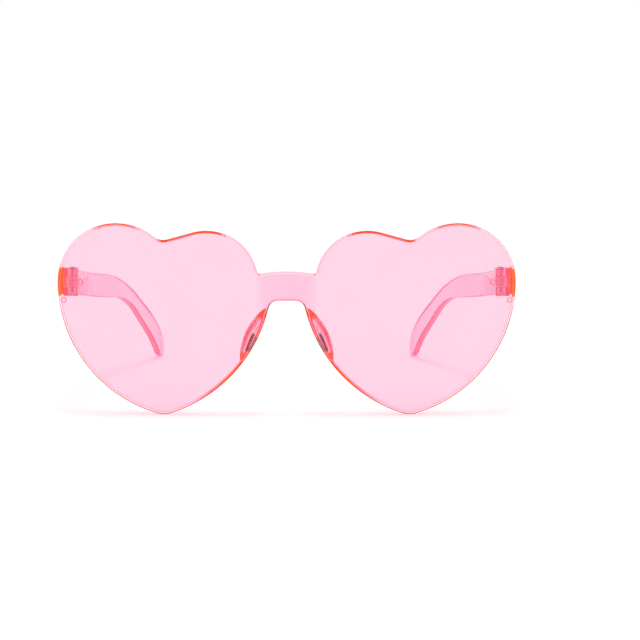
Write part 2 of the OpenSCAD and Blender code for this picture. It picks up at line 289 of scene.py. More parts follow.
def thinned(ring, least):
    """The ring without points closer than least to the one before."""
    kept = [ring[0]]
    for p in ring[1:]:
        if (Vector(p) - Vector(kept[-1])).length > least:
            kept.append(p)
    return kept


def stitched(bm, rows):
    """Quads between rows of as many points each, whose ends meet, with the row's and the point's number."""
    count = len(rows[0])
    for k, (low, high) in enumerate(zip(rows, rows[1:])):
        for i in range(count):
            j = (i + 1) % count
            yield k, i, bm.faces.new((low[i], low[j], high[j], high[i]))


def ring_edges(bm, row):
    """The edges between a ring's points."""
    return [bm.edges.get((row[i], row[(i + 1) % len(row)])) for i in range(len(row))]


def filled(bm, edges):
    """Fills a flat face inside its rings of edges, and leaves it clear."""
    glow, tone = marks_of(bm)
    for part in bmesh.ops.triangle_fill(bm, edges=edges, use_beauty=True)["geom"]:
        if isinstance(part, bmesh.types.BMFace):
            part[glow], part[tone] = 0.0, 0.0


def cut(bm, geometry, axis, place):
    """Cuts the geometry along the plane where axis, 0 to 2, is at place."""
    point, normal = [0.0, 0.0, 0.0], [0.0, 0.0, 0.0]
    point[axis], normal[axis] = place, 1.0
    bmesh.ops.bisect_plane(bm, geom=geometry, plane_co=point, plane_no=normal, dist=SAME_CUT)


def slab(ring, round_w, round_d, front, back, place, cuts, look):
    """A closed sheet from a flat outline in (a, b): front and back give its two faces' depth at a, and
    place turns (a, b, depth) into a point. Its long edges are rounded, by round_w(a, b) across and by
    round_d(a) deep, and look marks the faces of its edge. While it is flat and gets its cuts, it is 1 thick,
    so that a point's depth says which face it belongs to."""
    ring = thinned(left_inside(ring), POINT_GAP)
    half = [(share, 1 - math.sqrt(1 - (1 - share) ** 2)) for share in ROUND_SHARES]
    layers = [(share, depth, 1) for share, depth in half]
    layers += [(share, depth, -1) for share, depth in reversed(half)]
    bm = bmesh.new()
    glow, tone = marks_of(bm)
    rows = []
    for share, depth, way in layers:
        flat = [inset(ring, i, share * round_w(*ring[i])) for i in range(len(ring))]
        deep = [depth * round_d(p[0]) for p in ring]
        rows.append([bm.verts.new((p.x, p.y, d if way > 0 else 1 - d)) for p, d in zip(flat, deep)])
    for k, i, face in stitched(bm, rows):
        p, q = ring[i], ring[(i + 1) % len(ring)]
        face[glow], face[tone] = look((p[0] + q[0]) / 2, (p[1] + q[1]) / 2, outward(p, q), STRIPS[k])
    filled(bm, ring_edges(bm, rows[0]))
    filled(bm, ring_edges(bm, rows[-1]))
    for a in cuts:
        cut(bm, bm.verts[:] + bm.edges[:] + bm.faces[:], 0, a)
    for v in bm.verts:
        a, b, depth = v.co
        v.co = place(a, b, front(a) + depth if depth < 0.5 else back(a) - (1 - depth))
    return closed(bm)


def divided(points, step):
    """The open line of points with more points between them, at most step apart."""
    line = [Vector(points[0])]
    for p, q in zip(points, points[1:]):
        p, q = Vector(p), Vector(q)
        count = max(1, math.ceil((q - p).length / step))
        line += [p.lerp(q, k / count) for k in range(1, count + 1)]
    return line


def arc(centre, radius, start, end, count):
    """Points on a round stretch between two angles in degrees."""
    angles = [math.radians(start + (end - start) * k / count) for k in range(count + 1)]
    return [(centre[0] + radius * math.cos(t), centre[1] + radius * math.sin(t)) for t in angles]


def collar(plan, axis, bore, half, middle, round_by, sign, look, recess=False):
    """A closed piece round a bore: its plan seen from above, as high above and below the middle as half(y)
    says, with its long edges rounded, and with recess also a round recess for the screw's head on top."""
    plan = left_inside(plan)
    turns = [math.pi / 2 * k / ROUND_STEPS for k in range(ROUND_STEPS + 1)]
    rows = []

    def row(points, up):
        rows.append([(p[0], p[1], middle + up(p[1])) for p in points])

    def eye(radius):
        return [axis + (Vector(p) - axis).normalized() * radius for p in plan]
    row(eye(bore), lambda y: -half(y))
    for way, order in ((-1, turns), (1, turns[::-1])):
        for t in order:
            by, less = round_by * (1 - math.sin(t)), round_by * (1 - math.cos(t))
            flat = [inset(plan, i, by) for i in range(len(plan))]
            row(flat, lambda y: way * max(half(y) - less, LEAST_HALF))
    if recess:
        row(eye(RECESS_R), half)
        row(eye(RECESS_R), lambda y: half(y) - RECESS_DEPTH)
        row(eye(bore), lambda y: half(y) - RECESS_DEPTH)
    else:
        row(eye(bore), half)
    bm = bmesh.new()
    rows = [[bm.verts.new((sign * x, y, z)) for x, y, z in points] for points in rows]
    for _ in stitched(bm, rows + rows[:1]):
        pass
    closed(bm)
    mark(bm, look)
    return bm


def object_of(bm, name):
    """A new object from a bmesh."""
    mesh = bpy.data.meshes.new(name)
    bm.to_mesh(mesh)
    bm.free()
    piece = bpy.data.objects.new(name, mesh)
    bpy.context.scene.collection.objects.link(piece)
    return piece


def joined(name, parts):
    """One object from several closed meshes that lie side by side."""
    whole = bmesh.new()
    for bm in parts:
        mesh = bpy.data.meshes.new(name)
        bm.to_mesh(mesh)
        bm.free()
        whole.from_mesh(mesh)
        bpy.data.meshes.remove(mesh)
    return object_of(whole, name)


def shown(piece, body, node, material):
    """Makes an object a piece that stands for a node, shaded smooth but with its flat faces flat."""
    piece.data.shade_smooth()
    piece.data.materials.append(material)
    flat = piece.modifiers.new("flat_faces", "WEIGHTED_NORMAL")
    flat.weight = FLAT_FACE_WEIGHT
    flat.keep_sharp = True
    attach(piece, body)
    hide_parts(node)
    return piece


# Materials; each tone is (its place, its colour)
TONES = (
    (SHADE_DARK, (0.25, 0.006, 0.012, 1)),
    (FLAME, (1.0, 0.13, 0.0, 1)),
    (ORANGE, (1.0, 0.05, 0.0, 1)),
    (RED_PINK, (1.0, 0.07, 0.11, 1)),
    (PALE_PINK, (1.0, 0.3, 0.45, 1)),
    (HIGHLIGHT_WHITE, (1.0, 0.86, 0.9, 1)),
)
CLEAR_TINTS = ((0.3, (1, 0.975, 0.985, 1)), (0.7, (1, 1, 1, 1)))
DARK_STEEL = ((0.25, (0.03, 0.028, 0.032, 1)), (0.75, (0.14, 0.13, 0.14, 1)))
POLISHED_STEEL = ((0.25, (0.8, 0.74, 0.75, 1)), (0.75, (0.95, 0.9, 0.9, 1)))
PAPER_TINTS = ((0.3, (0.79, 0.79, 0.79, 1)), (0.7, (0.81, 0.81, 0.81, 1)))

# What the plastic absorbs of red, green and blue in a metre
SHEET_ABSORBS = (2.0, 192.0, 100.0)
MOULDED_ABSORBS = (2.0, 118.0, 65.0)

# Each plastic's (roughness, scale of its flow lines along each axis, strength of their bumps)
SHEET_FINISH = (0.0, (1, 1, 1), 0.15)
TEMPLE_FINISH = (0.008, (4, 0.25, 4), 0.4)
MOULDED_FINISH = (0.012, (3, 3, 3), 0.5)

# Finer values of the materials
PLASTIC_IOR = 1.5
PLASTIC_GLOSS = 0.15
RIM_LIGHT = (0.3, 0.5)
ROUGHER = 2.5
FLOW_SCALE = 90
FLOW_DETAIL = 3.0
FLOW_DEPTH = 0.02 * MM
GLOW_SCALE = 260
STEEL_SCALE = 2500
STEEL_ROUGHNESS = (0.18, 0.4)
TURNING_SCALE = 4000
TURNING_STRETCH = (1, 1, 8)
TURNING_DEPTH = 0.01 * MM
TURNING_STRENGTH = 0.25
PAPER_SCALE = 400

# The Mix node's sockets for its amount and two colours, and for the mixed one
MIX_INPUTS = (0, 6, 7)
MIX_OUTPUT = 2


def nodes_of(material):
    """The material's node tree, emptied."""
    material.use_nodes = True
    tree = material.node_tree
    tree.nodes.clear()
    return tree


def maths(tree, operation, first, second):
    """A Math node on two outputs or numbers."""
    node = tree.nodes.new("ShaderNodeMath")
    node.operation = operation
    for into, value in zip(node.inputs, (first, second)):
        if isinstance(value, (int, float)):
            into.default_value = value
        else:
            tree.links.new(value, into)
    return node.outputs[0]


def spread(tree, value, low, high):
    """A value from 0 to 1 spread from low to high."""
    node = tree.nodes.new("ShaderNodeMapRange")
    node.inputs["To Min"].default_value = low
    node.inputs["To Max"].default_value = high
    tree.links.new(value, node.inputs["Value"])
    return node.outputs["Result"]


def noise_in(tree, scale, stretch=(1, 1, 1), detail=2.0):
    """Noise in the piece's own coordinates, which go with it when it moves."""
    place = tree.nodes.new("ShaderNodeTexCoord")
    size = tree.nodes.new("ShaderNodeMapping")
    size.inputs["Scale"].default_value = stretch
    noise = tree.nodes.new("ShaderNodeTexNoise")
    noise.inputs["Scale"].default_value = scale
    noise.inputs["Detail"].default_value = detail
    tree.links.new(place.outputs["Object"], size.inputs["Vector"])
    tree.links.new(size.outputs["Vector"], noise.inputs["Vector"])
    return noise.outputs["Fac"]


def marked(tree, name):
    """The value that a piece's mesh holds under this name."""
    node = tree.nodes.new("ShaderNodeAttribute")
    node.attribute_name = name
    return node.outputs["Fac"]


def ramp(tree, value, stops):
    """A colour that runs through the stops (place, colour) as the value goes from 0 to 1."""
    node = tree.nodes.new("ShaderNodeValToRGB")
    elements = node.color_ramp.elements
    while len(elements) < len(stops):
        elements.new(1)
    for element, (place, colour) in zip(elements, stops):
        element.position = place
        element.color = colour
    tree.links.new(value, node.inputs["Fac"])
    return node.outputs["Color"]


def colour_mix(tree, amount, one, two):
    """The colour one where the amount is 0 and two where it is 1."""
    node = tree.nodes.new("ShaderNodeMix")
    node.data_type = "RGBA"
    factor, first, second = (node.inputs[i] for i in MIX_INPUTS)
    tree.links.new(amount, factor)
    tree.links.new(one, first)
    tree.links.new(two, second)
    return node.outputs[MIX_OUTPUT]


def bumped(tree, shader, height, strength, depth):
    """Gives a shader the bumps of a height."""
    bump = tree.nodes.new("ShaderNodeBump")
    bump.inputs["Strength"].default_value = strength
    bump.inputs["Distance"].default_value = depth
    tree.links.new(height, bump.inputs["Height"])
    tree.links.new(bump.outputs["Normal"], shader.inputs["Normal"])


def clear_plastic(name, absorbed, roughness, flow, waviness):
    """Clear plastic that absorbs by depth and whose marked faces glow in their tone, opaque where they glow:
    painted light, with painted highlights in white and painted shade in the dark tones. Lamps shine
    straight through it. Its surface has faint flow lines, and flow is their scale along each axis. Where
    they lie, a roughness over 0 rises."""
    material = bpy.data.materials.new(name)
    tree = nodes_of(material)
    new, link = tree.nodes.new, tree.links.new
    body = new("ShaderNodeBsdfPrincipled")
    body.inputs["IOR"].default_value = PLASTIC_IOR
    body.inputs["Specular IOR Level"].default_value = PLASTIC_GLOSS
    amount = marked(tree, "glow")
    rim_colour = ramp(tree, marked(tree, "tone"), TONES)
    lines = noise_in(tree, FLOW_SCALE, flow, FLOW_DETAIL)
    link(colour_mix(tree, amount, ramp(tree, lines, CLEAR_TINTS), rim_colour), body.inputs["Base Color"])
    link(rim_colour, body.inputs["Emission Color"])
    vary = spread(tree, noise_in(tree, GLOW_SCALE), *RIM_LIGHT)
    link(maths(tree, "MULTIPLY", amount, vary), body.inputs["Emission Strength"])
    link(spread(tree, amount, 1.0, 0.0), body.inputs["Transmission Weight"])
    body.inputs["Roughness"].default_value = roughness
    if roughness > 0:
        link(spread(tree, lines, roughness, ROUGHER * roughness), body.inputs["Roughness"])
    bumped(tree, body, lines, waviness, FLOW_DEPTH)
    straight = new("ShaderNodeBsdfTransparent")
    path = new("ShaderNodeLightPath")
    mix = new("ShaderNodeMixShader")
    shines_through = maths(tree, "MAXIMUM", path.outputs["Is Shadow Ray"], path.outputs["Is Diffuse Ray"])
    link(shines_through, mix.inputs["Fac"])
    link(body.outputs[0], mix.inputs[1])
    link(straight.outputs[0], mix.inputs[2])
    inside = new("ShaderNodeVolumeAbsorption")
    density = max(absorbed)
    inside.inputs["Color"].default_value = (*(1 - a / density for a in absorbed), 1)
    inside.inputs["Density"].default_value = density
    out = new("ShaderNodeOutputMaterial")
    link(mix.outputs[0], out.inputs["Surface"])
    link(inside.outputs[0], out.inputs["Volume"])
    return material


def turned_steel(name):
    """Dark steel with fine turning lines round the screw's axis, polished where the mesh says bright, and
    a little less bright in the thread's roots as painted shade.
    """
    material = bpy.data.materials.new(name)
    tree = nodes_of(material)
    new, link = tree.nodes.new, tree.links.new
    body = new("ShaderNodeBsdfPrincipled")
    body.inputs["Metallic"].default_value = 1
    spots = noise_in(tree, STEEL_SCALE)
    dark = ramp(tree, spots, DARK_STEEL)
    polished = ramp(tree, spots, POLISHED_STEEL)
    link(colour_mix(tree, marked(tree, "bright"), dark, polished), body.inputs["Base Color"])
    link(spread(tree, spots, *STEEL_ROUGHNESS), body.inputs["Roughness"])
    bumped(tree, body, noise_in(tree, TURNING_SCALE, TURNING_STRETCH), TURNING_STRENGTH, TURNING_DEPTH)
    out = new("ShaderNodeOutputMaterial")
    link(body.outputs[0], out.inputs["Surface"])
    return material


lens_sheet = clear_plastic("lens_sheet", SHEET_ABSORBS, *SHEET_FINISH)
temple_plastic = clear_plastic("temple_plastic", MOULDED_ABSORBS, *TEMPLE_FINISH)
moulded_plastic = clear_plastic("moulded_plastic", MOULDED_ABSORBS, *MOULDED_FINISH)
screw_metal = turned_steel("screw_metal")

# Front: both hearts and the bridge, as one bent sheet with a round mark below each hinge and one beside it
front_rim = rim("front_shield", 1, -1)
half_w = max(p.x for p in front_rim)
front_y = eased(along(front_rim, 0, 1), BRIDGE_EASE)
hinge_low, hinge_high = (corner.z for corner in corners_of("left_hinge_block"))
sheet_t = eased(lambda x: LENS_T if abs(x) > BRIDGE_HALF_W else BRIDGE_T, BRIDGE_EASE)

# Looks of the front's edge as (glow, tone), for each of its parts; glow is painted light, the white tone a
# painted highlight and the brown one painted shade
BRIDGE_TOP = {FACE_LINE: (0.05, RED_PINK), BEVEL: (0.3, HIGHLIGHT_WHITE), CORNER: (0.35, PALE_PINK),
              WALL: (0.45, PALE_PINK), BACK_ROUND: (0.1, HIGHLIGHT_WHITE)}
NOTCH_EDGE = {FACE_LINE: (0.0, HIGHLIGHT_WHITE), BEVEL: (0.65, PALE_PINK), CORNER: (0.9, RED_PINK + 0.08),
              WALL: (0.9, RED_PINK + 0.08), BACK_ROUND: (0.1, HIGHLIGHT_WHITE)}
UPPER_FLANK = {FACE_LINE: (0.14, RED_PINK), BEVEL: (0.6, HIGHLIGHT_WHITE), CORNER: (0.65, PALE_PINK),
               BACK_ROUND: (0.3, HIGHLIGHT_WHITE)}
LOWER_FLANK = {FACE_LINE: (0.28, RED_PINK), BEVEL: (0.85, HIGHLIGHT_WHITE), CORNER: (0.9, SHADE_BROWN),
               BACK_ROUND: (0.3, HIGHLIGHT_WHITE)}
# Painted glow: an orange dot in each brow corner, the cut wall, the hinge's edge and the marks' rims; the
# lit line is a painted white highlight
BROW_DOT = (0.8, ORANGE)
CUT_WALL = (1.0, ORANGE)
HINGE_EDGE = (0.95, FLAME)
LIT_LINE = (0.3, HIGHLIGHT_WHITE)
MARK_LOOK = (0.8, RED_PINK + 0.05)

# Where these looks change, over distances from the middle (x), heights (z), or slopes of the edge, which
# are parts of its direction outwards
DOT_X = (8.3 * MM, 9.1 * MM, 0.1 * MM)
NOTCH_DARK_X = (5.0 * MM, 6.2 * MM, 0.2 * MM)
NOTCH_SIDE_X = (6.0 * MM, 6.5 * MM)
TOP_SLOPES = (0.9, 0.985)
NOSE_SLOPES = (0.2, 0.5)
BELOW_SLOPES = (0.0, 0.3)
NOSE_Z = (1.0 * MM, 14.0 * MM)
FLANK_Z = (28.0 * MM, 36.0 * MM)
BESIDE_PAD_Z = (17.0 * MM, 31.0 * MM, 0.8 * MM)
POINT_Z = (5.0 * MM, 15.0 * MM)
PAD_DARK_Z = (19.5 * MM, 25.0 * MM, 0.8 * MM)
PAD_PINK_Z = (25.5 * MM, 30.5 * MM, 0.5 * MM)

# How much the looks fade or darken with painted shade there, and the tone of painted shade at the heart's
# point
OUTER_BROW_FADE = 0.6
LINE_FADE = 0.8
PAD_FADE = 0.9
POINT_TONE = 0.08
PAD_DARKENS = 0.36


def sheet_back(x):
    """Depth of the sheet's back face."""
    return front_y(x) + sheet_t(x)


def in_bridge(x, z):
    """1 on the bridge and 0 on the hearts."""
    beside = smooth(BRIDGE_HALF_W, BRIDGE_HALF_W + BRIDGE_FADE, abs(x))
    return (1 - beside) * smooth(BRIDGE_LOW_Z, BRIDGE_LOW_Z + BRIDGE_FADE, z)


def bridge_look(x, out, part):
    """Above, a pale band of painted glow and a painted white highlight, with an orange dot of painted glow
    in each corner. Below, a pink line, dark with painted shade where it turns down and then orange."""
    if out.y > 0:
        in_corner = band(*DOT_X, abs(x)) > 0.5
        return BROW_DOT if in_corner and part == CORNER else BRIDGE_TOP[part]
    glow, tone = NOTCH_EDGE[part]
    side = smooth(*NOTCH_SIDE_X, abs(x))
    if part == BEVEL:
        glow *= 1 - side
    if part in (CORNER, WALL):
        # The notch's corners darken with painted shade, and its sides turn to an orange glow
        tone += (SHADE_DARK - tone) * band(*NOTCH_DARK_X, abs(x))
        tone += (ORANGE - tone) * side
    return glow, tone


def nose_tone(z):
    """Tone of the nose edge: dark with painted shade at the heart's point, then orange, then darkened by
    painted shade and pink along the pad.
    """
    at_point = POINT_TONE + (ORANGE - POINT_TONE) * smooth(*POINT_Z, z)
    dark = PAD_DARKENS * band(*PAD_DARK_Z, z)
    pink = (RED_PINK - ORANGE) * band(*PAD_PINK_Z, z)
    return at_point - dark + pink


def heart_look(x, z, out, part):
    """The cut wall glows orange all round. The rounded edge in front of it glows where it looks up, at the
    hinge and on the nose side below the bridge. Elsewhere it is a painted white highlight line between two
    thin ones, the outer one darker, with a brown painted shade low on the heart. The white line and the
    inner thin one fade on the nose side above the bridge, and beside the pads."""
    if part == WALL:
        return CUT_WALL
    if part != BACK_ROUND and abs(x) > half_w - HINGE_REACH and hinge_low < z < hinge_high:
        return HINGE_EDGE
    to_nose = smooth(*NOSE_SLOPES, -out.x if x > 0 else out.x)
    top = smooth(*TOP_SLOPES, out.y)
    nose = to_nose * (1 - smooth(*BELOW_SLOPES, out.y)) * smooth(*NOSE_Z, z)
    lit = max(top, nose)
    lit_look = (1.0, ORANGE if top >= nose else nose_tone(z))
    glow, tone = mixed(UPPER_FLANK[part], LOWER_FLANK[part], 1 - smooth(*FLANK_Z, z))
    if part == BEVEL and abs(x) > CLEFT_X:
        lit *= 1 - OUTER_BROW_FADE * top
    if part in (FACE_LINE, BEVEL):
        beside_pad = band(*BESIDE_PAD_Z, z) * nose
        glow *= (1 - LINE_FADE * to_nose * smooth(*BRIDGE_MIDDLE, z)) * (1 - LINE_FADE * beside_pad)
        lit *= 1 - PAD_FADE * beside_pad
    return mixed((glow, tone), LIT_LINE if part == FACE_LINE else lit_look, lit)


def front_look(x, z, out, part):
    """Glow and tone of the front's edge."""
    return bridge_look(x, out, part) if in_bridge(x, z) > 0.5 else heart_look(x, z, out, part)


def low_disc(bm, a, b):
    """A low round moulding mark on the sheet's back: a clear disc with a glowing rim."""
    glow, tone = marks_of(bm)
    around = [2 * math.pi * k / MARK_AROUND for k in range(MARK_AROUND)]
    rows = []
    for less, share in MARK_PROFILE:
        r, up = MARK_R - less, share * MARK_H
        flat = [(a + r * math.cos(t), b + r * math.sin(t)) for t in around]
        rows.append([bm.verts.new((x, sheet_back(x) + BOND_GAP + up, z)) for x, z in flat])
    for _, _, face in stitched(bm, rows):
        face[glow], face[tone] = MARK_LOOK
    for row in (rows[0], rows[-1]):
        face = bm.faces.new(row)
        face[glow], face[tone] = 0.0, HIGHLIGHT_WHITE


def front_sheet():
    """Both hearts, the bridge and the moulding marks as one piece."""
    count = int(half_w / CUT_STEP)
    cuts = [half_w * k / count for k in range(1 - count, count)]

    def round_w(x, z):
        at_bridge = NOTCH_ROUND_W + (BRIDGE_ROUND_W - NOTCH_ROUND_W) * smooth(*BRIDGE_MIDDLE, z)
        return EDGE_ROUND_W + (at_bridge - EDGE_ROUND_W) * in_bridge(x, z)
    bm = slab([(p.x, p.z) for p in front_rim], round_w, lambda x: EDGE_ROUND_D, front_y, sheet_back,
              lambda a, b, depth: (a, depth, b), cuts, front_look)
    for side, sign in SIDES:
        low, high = corners_of(side + "_hinge_block")
        low_disc(bm, sign * (half_w - MARK_INSET), low.z - MARK_DROP)
        low_disc(bm, sign * (half_w - INNER_MARK_INSET), (low.z + high.z) / 2)
    closed(bm)
    return shown(object_of(bm, "hearts_and_bridge"), "front", "front_shield", lens_sheet)


# Temples: a bent blade with rounded long edges. Each part of an edge has (its glow behind the blade's
# straight run, what that run adds)
TOP_GLOWS = {FACE_LINE: (0.2, 0.0), BEVEL: (0.6, 0.0), CORNER: (0.4, 0.5), WALL: (0.35, 0.5),
             BACK_ROUND: (0.4, 0.2)}
UNDER_GLOWS = {FACE_LINE: (0.05, 0.0), BEVEL: (0.1, 0.0), CORNER: (0.6, 0.0), WALL: (0.3, 0.4),
               BACK_ROUND: (0.12, 0.0)}
BACK_PALER = 0.08
UNDER_PALER = 0.06
BLADE_END = (1.0, FLAME)
# The rounded edges round the blade's end carry a painted white highlight
BLADE_END_EDGE = (0.5, HIGHLIGHT_WHITE)
BLADE_END_INNER = (0.12, RED_PINK)


def blade_look(up, run, tip, part):
    """Both long edges glow red along the straight run and less behind it, where the top is paler too, and
    the underside turns orange at the tip. On top, the two strips next to the outer face are a painted
    white highlight."""
    if not up:
        glow, more = UNDER_GLOWS[part]
        return glow + more * run, RED_PINK + UNDER_PALER + (ORANGE - RED_PINK) * tip
    glow, more = TOP_GLOWS[part]
    if part in (FACE_LINE, BEVEL):
        return glow + more * run, HIGHLIGHT_WHITE
    paler = BACK_PALER * run if part == BACK_ROUND else 0.0
    return glow + more * run, PALE_PINK + (RED_PINK - PALE_PINK) * run + paler


def end_cut(bm, low, edge_x, sign):
    """Keeps the glow of the blade's end at the hinge to the end's outer part."""
    end_faces = [face for face in bm.faces if face.calc_center_median().y < low + END_LAYER]
    end_faces = [face for face in end_faces if abs(face.normal.y) > MOSTLY_NORMAL]
    around = set(end_faces)
    for face in end_faces:
        around.update(face.verts, face.edges)
    cut(bm, list(around), 0, sign * edge_x)
    glow, tone = marks_of(bm)
    for face in bm.faces:
        place = face.calc_center_median()
        if place.y < low + END_LAYER and abs(place.x) < edge_x:
            face[glow], face[tone] = BLADE_END_INNER


def temple_blade(side, sign):
    """One blade with its bent end."""
    node = side + "_temple"
    outer = along(rim(node, 0, sign), 1, 0)
    points = rim(node, 0, -sign)
    inner = along(points, 1, 0)
    low = min(p.y for p in points)
    high = max(p.y for p in points)
    count = int((high - low) / CUT_STEP)
    cuts = [low + (high - low) * k / count for k in range(1, count)]

    def behind(shares, y):
        """0 before the first of two shares of the blade's length, and 1 behind the second."""
        start, end = (low + share * (high - low) for share in shares)
        return smooth(start, end, y)

    def look(y, z, out, part):
        if y < low + END_LAYER:
            return BLADE_END if part == WALL else BLADE_END_EDGE
        tip = smooth(high - TIP_LEN, high - TIP_GLOW_END, y)
        return blade_look(out.y > 0, 1 - behind(STRAIGHT_SHARES, y), tip, part)

    def round_d(y):
        return TEMPLE_ROUND_D + (TIP_ROUND_D - TEMPLE_ROUND_D) * smooth(high - TIP_LEN, high, y)

    def round_w(y, z):
        at_hinge = (HINGE_ROUND_W - TEMPLE_ROUND_W) * (1 - behind(HINGE_ROUND_SHARES, y))
        return TEMPLE_ROUND_W + at_hinge + (TIP_ROUND_D - TEMPLE_ROUND_W) * smooth(high - TIP_LEN, high, y)
    bm = slab([(p.y, p.z) for p in points], round_w, round_d, lambda y: outer(y) * -sign,
              lambda y: inner(y) * -sign, lambda a, b, depth: (depth * -sign, a, b), cuts, look)
    end_cut(bm, low, max(abs(v.co.x) for v in bm.verts) - FLAME_W, sign)
    blade = object_of(bm, side + "_blade")
    return shown(blade, side + "_temple_arm", node, temple_plastic)


# Hinge blocks and knuckles: the moulded shapes with rounded edges that glow. A look is (glow, tone), a pair
# of glows is (away from the hinge, what the hinge adds), and what a side adds is (to the glow, to the tone)
EAR_CLEAR = (0.03, PALE_PINK)
EAR_NOSE_SIDE = (0.65, RED_PINK - 0.08)
EAR_NOSE_ENDS = (1.0, RED_PINK - 0.08)
EAR_OUTER_SIDE = (0.3, RED_PINK)
EAR_OUTER_ENDS = (0.9, RED_PINK)
EAR_CORNER = (0.12, RED_PINK)
EAR_FLAT = (0.22, RED_PINK)
EAR_EDGE = (0.95, RED_PINK)
WEB_LOOK = (0.15, RED_PINK)
TONGUE_EDGE = (0.35, RED_PINK)
TONGUE_FLAT_GLOWS = (0.12, 0.2)
TONGUE_SIDE_GLOWS = (0.06, 0.2)
NOSE_SIDE_ADDS = (0.2, 0.1)
BLADE_SIDE_ADDS = (0.5, -0.12)
NOSE_SIDE_SHARES = (0.9, 0.5)


def screw_axis(side):
    """The middle of a screw seen from above, on the +X side for both."""
    low, high = corners_of(side + "_hinge_screw")
    middle = ((low + high) / 2).xy
    return Vector((abs(middle.x), middle.y))


def is_flat(face, axis):
    """Whether a face looks straight along an axis, either way."""
    return abs(face.normal[axis]) > FLAT_NORMAL


def from_axis(face, axis):
    """A face's distance from a screw's axis, its middle seen on the +X side."""
    place = face.calc_center_median()
    return (Vector((abs(place.x), place.y)) - axis).length


def on_lens(x):
    """Depth at which pieces lie on the sheet's back."""
    return sheet_back(x) + BOND_GAP


def ears(side, sign):
    """Two ears that stand on the back of the lens and a thin web between them."""
    node = side + "_hinge_block"
    low, high = corners_of(node)
    axis = screw_axis(side)
    nose_x, outer_x = sorted((abs(low.x), abs(high.x)))
    back = high.y
    ear_h = (high.z - low.z - EAR_GAP) / 2
    middle = (low.z + high.z) / 2
    xs = [nose_x + (outer_x - nose_x) * k / EAR_FRONT_STEPS for k in range(EAR_FRONT_STEPS + 1)]
    front = [(x, on_lens(x)) for x in xs]
    corner = arc((outer_x - CORNER_R, back - CORNER_R), CORNER_R, 0, 90, CORNER_STEPS)
    back_arc = arc(axis, back - axis.y, 90, 180, EAR_BACK_STEPS)
    plan = divided(front + corner + back_arc + [front[0]], PLAN_STEP)[:-1]

    def look(face):
        """Clear in front, behind and round the bore, and red along the edges, most on the nose side."""
        place = face.calc_center_median()
        if is_flat(face, 1) or from_axis(face, axis) < RECESS_R + BORE_RIM:
            return EAR_CLEAR
        if is_flat(face, 0):
            at_end = place.y < on_lens(abs(place.x)) + EAR_ROOT_W or place.y > back - EAR_BACK_W
            if face.normal.x * sign < 0:
                return EAR_NOSE_ENDS if at_end else EAR_NOSE_SIDE
            return EAR_OUTER_ENDS if at_end else EAR_OUTER_SIDE
        if abs(face.normal.z) < ACROSS_NORMAL:
            return EAR_CORNER
        return EAR_FLAT if is_flat(face, 2) else EAR_EDGE

    def half(y):
        return ear_h / 2
    parts = []
    for up in (-1, 1):
        ear_z = middle + up * (EAR_GAP + ear_h) / 2
        parts.append(collar(plan, axis, BORE_R, half, ear_z, BLOCK_ROUND, sign, look, recess=up > 0))
    z0, z1 = middle - EAR_GAP / 2 + BOND_GAP, middle + EAR_GAP / 2 - BOND_GAP
    web_plan = [(nose_x, z0), (outer_x, z0), (outer_x, z1), (nose_x, z1)]
    web_back = sheet_back(axis.x) + WEB_T
    parts.append(slab(web_plan, lambda x, z: WEB_ROUND, lambda x: WEB_ROUND, on_lens, lambda x: web_back,
                      lambda a, b, depth: (sign * a, depth, b), [], lambda a, b, out, part: WEB_LOOK))
    return shown(joined(side + "_hinge_ears", parts), "front", node, moulded_plastic)


def tongue(side, sign):
    """The eye between the ears, and its bar along the blade with a round end."""
    node = side + "_temple_knuckle"
    low, high = corners_of(node)
    axis = screw_axis(side)
    radius = axis.y - low.y
    nose_x = axis.x - radius
    blade_x = max(abs(low.x), abs(high.x)) - BOND_GAP
    tall = (high.z - low.z) / 2
    end_centre = high.y - tall

    def half(y):
        if y < end_centre:
            return tall
        return math.sqrt(max(tall ** 2 - (y - end_centre) ** 2, TONGUE_TIP_HALF ** 2))
    turn = math.degrees(math.acos((blade_x - axis.x) / radius))
    bar = [(blade_x, high.y), (nose_x, high.y)]
    eye = arc(axis, radius, 180, 360 - turn, EYE_STEPS)
    plan = divided(eye + bar + [(nose_x, axis.y)], PLAN_STEP)[:-1]

    def look(face):
        """Clear round the bore and red near the hinge, most on the side towards the blade."""
        place = face.calc_center_median()
        if from_axis(face, axis) < EYE_BORE_R + BORE_RIM:
            return EAR_CLEAR
        near_hinge = 1 - smooth(axis.y + radius, axis.y + radius + HINGE_GLOW_LEN, place.y)
        if is_flat(face, 0) or abs(face.normal.z) < ACROSS_NORMAL:
            nose_from, nose_to = (axis.x - share * radius for share in NOSE_SIDE_SHARES)
            blade_from, blade_to = (blade_x - layer for layer in TONGUE_SIDE_LAYER)
            nose_side = 1 - smooth(nose_from, nose_to, abs(place.x))
            blade_side = smooth(blade_from, blade_to, abs(place.x))
            adds = zip(NOSE_SIDE_ADDS, BLADE_SIDE_ADDS)
            more_glow, more_tone = (nose_side * a + blade_side * b for a, b in adds)
            far_glow, near_glow = TONGUE_SIDE_GLOWS
            return far_glow + (near_glow + more_glow) * near_hinge, RED_PINK + more_tone
        far_glow, near_glow = TONGUE_FLAT_GLOWS
        return (far_glow + near_glow * near_hinge, RED_PINK) if is_flat(face, 2) else TONGUE_EDGE
    bm = collar(plan, axis, EYE_BORE_R, half, (low.z + high.z) / 2, KNUCKLE_ROUND, sign, look)
    piece = object_of(bm, side + "_tongue")
    return shown(piece, side + "_temple_arm", node, moulded_plastic)


